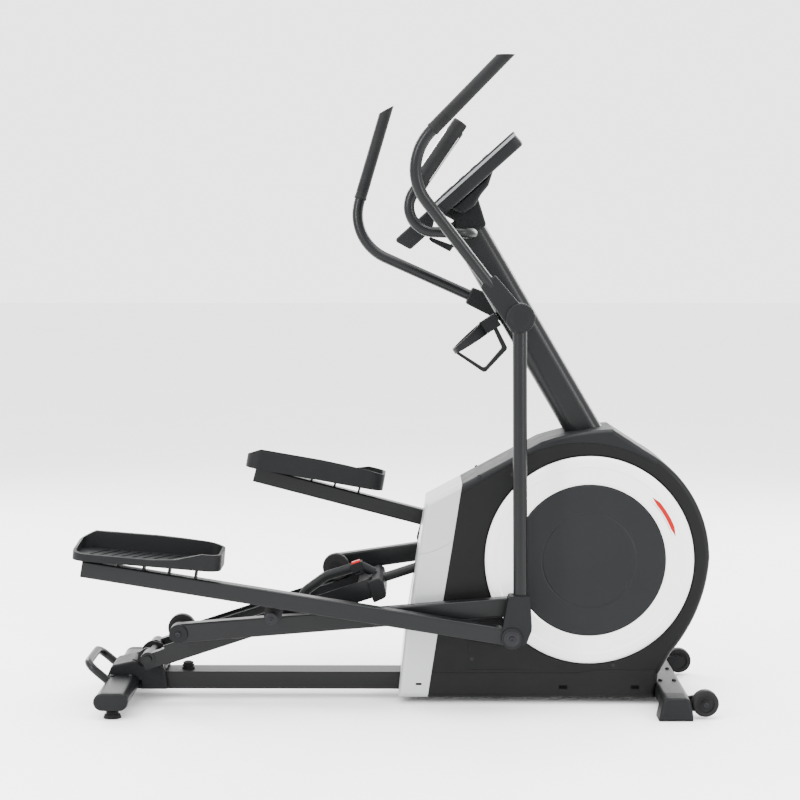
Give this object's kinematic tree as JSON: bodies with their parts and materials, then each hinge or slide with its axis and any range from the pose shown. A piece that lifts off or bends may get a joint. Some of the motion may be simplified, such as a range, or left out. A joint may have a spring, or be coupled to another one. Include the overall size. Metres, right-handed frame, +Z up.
{
  "type": "elliptical trainer",
  "caption": "Front-drive elliptical trainer with swinging handles, long pedal arms rolling on an inclined rear ramp, a cased crank drive and a console on a leaning mast.",
  "frame": {"origin": "on the floor, under the middle of the machine's overall box", "axes": "+X the way the user faces, towards the crank casing; +Y the user's left; +Z up"},
  "size_m": [1.6398, 0.6356, 1.664],
  "materials": {
    "main_rail": "satin charcoal powder coat",
    "rear_stabilizer": "satin charcoal powder coat",
    "rear_end_caps": "fine texture",
    "rear_handle": "satin charcoal powder coat",
    "hinge_cover": "fine texture",
    "front_stabilizer": "satin charcoal powder coat",
    "front_boots": "fine texture",
    "drive_frame": "black primer",
    "mast": "satin charcoal powder coat",
    "swing_axle": "satin charcoal powder coat",
    "shroud_right": "black fine texture",
    "shroud_left": "black fine texture",
    "rear_panel": "silver",
    "rear_panel_lower": "silver",
    "top_cover": "charcoal fine texture",
    "base_cover": "black fine texture",
    "power_inlet": "socket",
    "drive_belt": "ribbed belt",
    "console_face": "black bezel",
    "console_screen": "dark display window",
    "console_back": "fine texture",
    "console_tray": "fine texture",
    "console_neck": "fine texture",
    "pulse_bar": "satin charcoal powder coat",
    "pulse_grips": "soft grip",
    "pulse_contacts": "satin contact plate",
    "bottle_holder": "fine texture",
    "crank_axle": "turned steel",
    "disc_rings": "off-white",
    "disc_cores": "satin charcoal",
    "drive_pulley": "cast",
    "flywheel": "machined rim",
    "ramp_rails": "satin charcoal powder coat",
    "ramp_feet": "satin charcoal powder coat",
    "ramp_lips": "satin charcoal powder coat",
    "ramp_collar": "fine texture",
    "ramp_hoop": "fine texture",
    "ramp_latch": "red release button",
    "leg_right": "satin charcoal powder coat",
    "leg_bracket_right": "fine texture",
    "leg_hub_right": "fine texture",
    "handle_right": "satin charcoal powder coat",
    "grip_right": "soft grip",
    "pedal_arm_right": "satin charcoal powder coat",
    "pedal_right": "moulded tread",
    "roller_axle_right": "turned steel",
    "roller_arm_right": "satin charcoal powder coat",
    "roller_right": "tread",
    "transport_wheel_right": "tread",
    "levelling_foot_right": "tread",
    "leg_left": "satin charcoal powder coat",
    "leg_bracket_left": "fine texture",
    "leg_hub_left": "fine texture",
    "handle_left": "satin charcoal powder coat",
    "grip_left": "soft grip",
    "pedal_arm_left": "satin charcoal powder coat",
    "pedal_left": "moulded tread",
    "roller_axle_left": "turned steel",
    "roller_arm_left": "satin charcoal powder coat",
    "roller_left": "tread",
    "transport_wheel_left": "tread",
    "levelling_foot_left": "tread"
  },
  "bodies": {
    "frame": {"main_rail": "main_rail", "rear_stabilizer": "rear_stabilizer", "rear_end_caps": "rear_end_caps", "rear_handle": "rear_handle", "hinge_cover": "hinge_cover", "front_stabilizer": "front_stabilizer", "front_boots": "front_boots", "drive_frame": "drive_frame", "mast": "mast", "swing_axle": "swing_axle", "shroud_right": "shroud_right", "shroud_left": "shroud_left", "rear_panel": "rear_panel", "rear_panel_lower": "rear_panel_lower", "top_cover": "top_cover", "base_cover": "base_cover", "power_inlet": "power_inlet", "drive_belt": "drive_belt", "console_face": "console_face", "console_screen": "console_screen", "console_back": "console_back", "console_tray": "console_tray", "console_neck": "console_neck", "pulse_bar": "pulse_bar", "pulse_grips": "pulse_grips", "pulse_contacts": "pulse_contacts", "bottle_holder": "bottle_holder"},
    "crank": {"crank_axle": "crank_axle", "disc_rings": "disc_rings", "disc_cores": "disc_cores", "drive_pulley": "drive_pulley"},
    "flywheel": {"flywheel": "flywheel"},
    "ramp": {"ramp_rails": "ramp_rails", "ramp_feet": "ramp_feet", "ramp_lips": "ramp_lips", "ramp_collar": "ramp_collar", "ramp_hoop": "ramp_hoop"},
    "latch": {"ramp_latch": "ramp_latch"},
    "swing_arm_right": {"leg_right": "leg_right", "leg_bracket_right": "leg_bracket_right", "leg_hub_right": "leg_hub_right", "handle_right": "handle_right", "grip_right": "grip_right"},
    "foot_arm_right": {"pedal_arm_right": "pedal_arm_right", "pedal_right": "pedal_right"},
    "carriage_right": {"roller_axle_right": "roller_axle_right"},
    "link_right": {"roller_arm_right": "roller_arm_right"},
    "wheel_right": {"roller_right": "roller_right"},
    "front_wheel_right": {"transport_wheel_right": "transport_wheel_right"},
    "leveller_right": {"levelling_foot_right": "levelling_foot_right"},
    "swing_arm_left": {"leg_left": "leg_left", "leg_bracket_left": "leg_bracket_left", "leg_hub_left": "leg_hub_left", "handle_left": "handle_left", "grip_left": "grip_left"},
    "foot_arm_left": {"pedal_arm_left": "pedal_arm_left", "pedal_left": "pedal_left"},
    "carriage_left": {"roller_axle_left": "roller_axle_left"},
    "link_left": {"roller_arm_left": "roller_arm_left"},
    "wheel_left": {"roller_left": "roller_left"},
    "front_wheel_left": {"transport_wheel_left": "transport_wheel_left"},
    "leveller_left": {"levelling_foot_left": "levelling_foot_left"}
  },
  "joints": [
    {"name": "crank_spin", "type": "hinge", "parent": "frame", "child": "crank", "pos_m": [0.501, 0, 0.3825], "axis": [0, -1, 0], "continuous": true},
    {"name": "flywheel_spin", "type": "hinge", "parent": "frame", "child": "flywheel", "pos_m": [0.235, 0, 0.33], "axis": [0, -1, 0], "continuous": true},
    {"name": "swing_right", "type": "hinge", "parent": "frame", "child": "swing_arm_right", "pos_m": [0.3118, -0.216, 1.0164], "axis": [0, -1, 0], "range_deg": [0, 28.1]},
    {"name": "swing_left", "type": "hinge", "parent": "frame", "child": "swing_arm_left", "pos_m": [0.3118, 0.216, 1.0164], "axis": [0, -1, 0], "range_deg": [-28.11, 0]},
    {"name": "pedal_arm_right_pivot", "type": "hinge", "parent": "swing_arm_right", "child": "foot_arm_right", "pos_m": [0.29432, -0.216, 0.20209], "axis": [0, -1, 0], "range_deg": [-33.59, 0]},
    {"name": "pedal_arm_left_pivot", "type": "hinge", "parent": "swing_arm_left", "child": "foot_arm_left", "pos_m": [0.67993, 0.216, 0.28984], "axis": [0, -1, 0], "range_deg": [0, 33.59]},
    {"name": "roller_right_travel", "type": "slide", "parent": "frame", "child": "carriage_right", "axis": [0.9498, 0, 0.3128], "range_m": [0, 0.41791]},
    {"name": "roller_left_travel", "type": "slide", "parent": "frame", "child": "carriage_left", "axis": [0.9498, 0, 0.3128], "range_m": [-0.41791, 0]},
    {"name": "roller_arm_right_pivot", "type": "hinge", "parent": "carriage_right", "child": "link_right", "pos_m": [-0.561, -0.158, 0.2002], "axis": [0, -1, 0], "range_deg": [0, 3.58]},
    {"name": "roller_arm_left_pivot", "type": "hinge", "parent": "carriage_left", "child": "link_left", "pos_m": [-0.16454, 0.158, 0.33078], "axis": [0, -1, 0], "range_deg": [-3.58, 0]},
    {"name": "roller_right_spin", "type": "hinge", "parent": "carriage_right", "child": "wheel_right", "pos_m": [-0.561, -0.09, 0.2002], "axis": [0, -1, 0], "continuous": true},
    {"name": "roller_left_spin", "type": "hinge", "parent": "carriage_left", "child": "wheel_left", "pos_m": [-0.16454, 0.09, 0.33078], "axis": [0, -1, 0], "continuous": true},
    {"name": "ramp_tilt", "type": "hinge", "parent": "frame", "child": "ramp", "pos_m": [-0.65, 0, 0.118], "axis": [0, -1, 0], "range_deg": [-8, 0]},
    {"name": "latch_press", "type": "slide", "parent": "ramp", "child": "latch", "axis": [0.3128, 0, -0.9498], "range_m": [0, 0.003], "stiffness_N_per_m": 400},
    {"name": "transport_wheel_right_spin", "type": "hinge", "parent": "frame", "child": "front_wheel_right", "pos_m": [0.7845, -0.254, 0.04], "axis": [0, -1, 0], "continuous": true},
    {"name": "transport_wheel_left_spin", "type": "hinge", "parent": "frame", "child": "front_wheel_left", "pos_m": [0.7845, 0.254, 0.04], "axis": [0, -1, 0], "continuous": true},
    {"name": "levelling_foot_right_screw", "type": "slide", "parent": "frame", "child": "leveller_right", "axis": [0, 0, -1], "range_m": [0, 0.01]},
    {"name": "levelling_foot_left_screw", "type": "slide", "parent": "frame", "child": "leveller_left", "axis": [0, 0, -1], "range_m": [0, 0.01]}
  ],
  "couplings": [
    {"joint": "flywheel_spin", "follows": "crank_spin", "ratio": 7.2727},
    {"joint": "swing_left", "follows": "swing_right", "ratio": -1},
    {"joint": "pedal_arm_right_pivot", "follows": "swing_right", "ratio": -1.1936},
    {"joint": "pedal_arm_left_pivot", "follows": "swing_right", "ratio": 1.1936},
    {"joint": "roller_right_travel", "follows": "swing_right", "m_per_rad": 0.8511},
    {"joint": "roller_left_travel", "follows": "swing_right", "m_per_rad": -0.8511},
    {"joint": "roller_arm_right_pivot", "follows": "swing_right", "ratio": 0.12582},
    {"joint": "roller_arm_left_pivot", "follows": "swing_right", "ratio": -0.12582},
    {"joint": "roller_right_spin", "follows": "swing_right", "ratio": -23.642},
    {"joint": "roller_left_spin", "follows": "swing_right", "ratio": 23.642}
  ]
}
